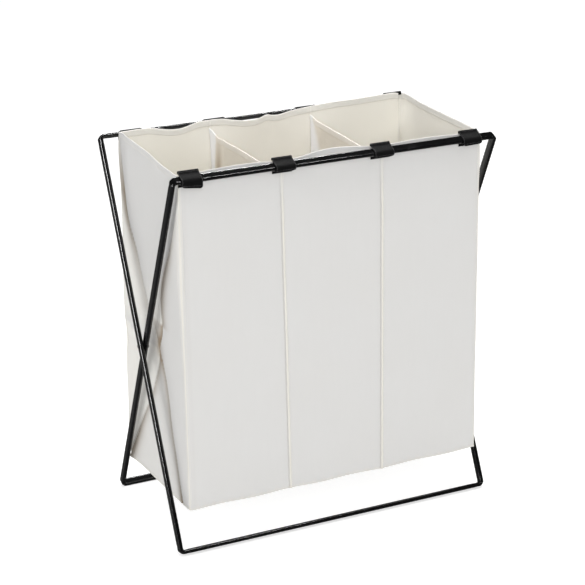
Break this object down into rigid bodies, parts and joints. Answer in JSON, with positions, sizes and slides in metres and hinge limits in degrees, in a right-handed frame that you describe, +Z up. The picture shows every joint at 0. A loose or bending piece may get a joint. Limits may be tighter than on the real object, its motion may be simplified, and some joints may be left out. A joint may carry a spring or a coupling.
{
  "type": "laundry sorter",
  "caption": "Folding scissor-frame laundry sorter: crossed oval-tube frames carry an open-topped fabric bag with compartments on hook-and-loop straps.",
  "frame": {"origin": "floor level under the middle of the object: X halfway between the outer rivet heads, Y on the line of the scissor rivets to within a millimetre, Z at the floor under the bottom rails", "axes": "+Z up, +X to the right along the rails as seen from the front, +Y from the front rail towards the back rail"},
  "size_m": [0.6584, 0.356, 0.7282],
  "materials": {
    "frame_tube": "gloss black powder coat on oval steel tube",
    "rivet_steel": "blackened steel",
    "spacer_washer": "black nylon",
    "bag_cloth": "off-white woven polyester, matte",
    "divider_cloth": "off-white woven polyester, matte",
    "strap_tape": "black hook-and-loop webbing, matte"
  },
  "bodies": {
    "front_rail_frame": {"front_rail_frame": "frame_tube", "rivet_left": "rivet_steel", "rivet_right": "rivet_steel", "spacer_washer_left": "spacer_washer", "spacer_washer_right": "spacer_washer", "backing_washer_left": "rivet_steel", "backing_washer_right": "rivet_steel"},
    "back_rail_frame": {"back_rail_frame": "frame_tube", "back_strap_1_tab": "strap_tape", "back_strap_2_tab": "strap_tape", "back_strap_3_tab": "strap_tape", "back_strap_4_tab": "strap_tape"},
    "bag": {"bag_front_panel": "bag_cloth", "bag_back_panel": "bag_cloth", "bag_left_panel": "bag_cloth", "bag_right_panel": "bag_cloth", "bag_bottom_left": "bag_cloth", "bag_bottom_middle": "bag_cloth", "bag_bottom_right": "bag_cloth", "divider_left": "divider_cloth", "divider_right": "divider_cloth", "front_strap_1_tab": "strap_tape", "front_strap_2_tab": "strap_tape", "front_strap_3_tab": "strap_tape", "front_strap_4_tab": "strap_tape"},
    "front_strap_1": {"front_strap_1_flap": "strap_tape"},
    "front_strap_2": {"front_strap_2_flap": "strap_tape"},
    "front_strap_3": {"front_strap_3_flap": "strap_tape"},
    "front_strap_4": {"front_strap_4_flap": "strap_tape"},
    "back_strap_1": {"back_strap_1_flap": "strap_tape"},
    "back_strap_2": {"back_strap_2_flap": "strap_tape"},
    "back_strap_3": {"back_strap_3_flap": "strap_tape"},
    "back_strap_4": {"back_strap_4_flap": "strap_tape"}
  },
  "joints": [
    {"name": "frame_fold", "type": "hinge", "parent": "front_rail_frame", "child": "back_rail_frame", "pos_m": [0, 0, 0.35595], "axis": [1, 0, 0], "range_deg": [0, 45], "deforming": ["bag_front_panel", "bag_back_panel", "bag_left_panel", "bag_right_panel", "bag_bottom_left", "bag_bottom_middle", "bag_bottom_right", "divider_left", "divider_right"]},
    {"name": "bag_swing", "type": "hinge", "parent": "front_rail_frame", "child": "bag", "pos_m": [0, -0.1676, 0.71411], "axis": [1, 0, 0], "range_deg": [0, 22.6]},
    {"name": "front_strap_1_peel", "type": "hinge", "parent": "bag", "child": "front_strap_1", "pos_m": [-0.2845, -0.15625, 0.7236], "axis": [-1, 0, 0], "range_deg": [0, 70]},
    {"name": "front_strap_2_peel", "type": "hinge", "parent": "bag", "child": "front_strap_2", "pos_m": [-0.1035, -0.15625, 0.7236], "axis": [-1, 0, 0], "range_deg": [0, 70]},
    {"name": "front_strap_3_peel", "type": "hinge", "parent": "bag", "child": "front_strap_3", "pos_m": [0.0915, -0.15625, 0.7236], "axis": [-1, 0, 0], "range_deg": [0, 70]},
    {"name": "front_strap_4_peel", "type": "hinge", "parent": "bag", "child": "front_strap_4", "pos_m": [0.2735, -0.15625, 0.7236], "axis": [-1, 0, 0], "range_deg": [0, 70]},
    {"name": "back_strap_1_peel", "type": "hinge", "parent": "back_rail_frame", "child": "back_strap_1", "pos_m": [-0.2645, 0.15275, 0.7236], "axis": [1, 0, 0], "range_deg": [0, 70]},
    {"name": "back_strap_2_peel", "type": "hinge", "parent": "back_rail_frame", "child": "back_strap_2", "pos_m": [-0.0955, 0.15275, 0.7236], "axis": [1, 0, 0], "range_deg": [0, 70]},
    {"name": "back_strap_3_peel", "type": "hinge", "parent": "back_rail_frame", "child": "back_strap_3", "pos_m": [0.0975, 0.15275, 0.7236], "axis": [1, 0, 0], "range_deg": [0, 70]},
    {"name": "back_strap_4_peel", "type": "hinge", "parent": "back_rail_frame", "child": "back_strap_4", "pos_m": [0.2845, 0.15275, 0.7236], "axis": [1, 0, 0], "range_deg": [0, 70]}
  ],
  "couplings": [
    {"joint": "bag_swing", "follows": "frame_fold", "ratio": 0.5}
  ]
}
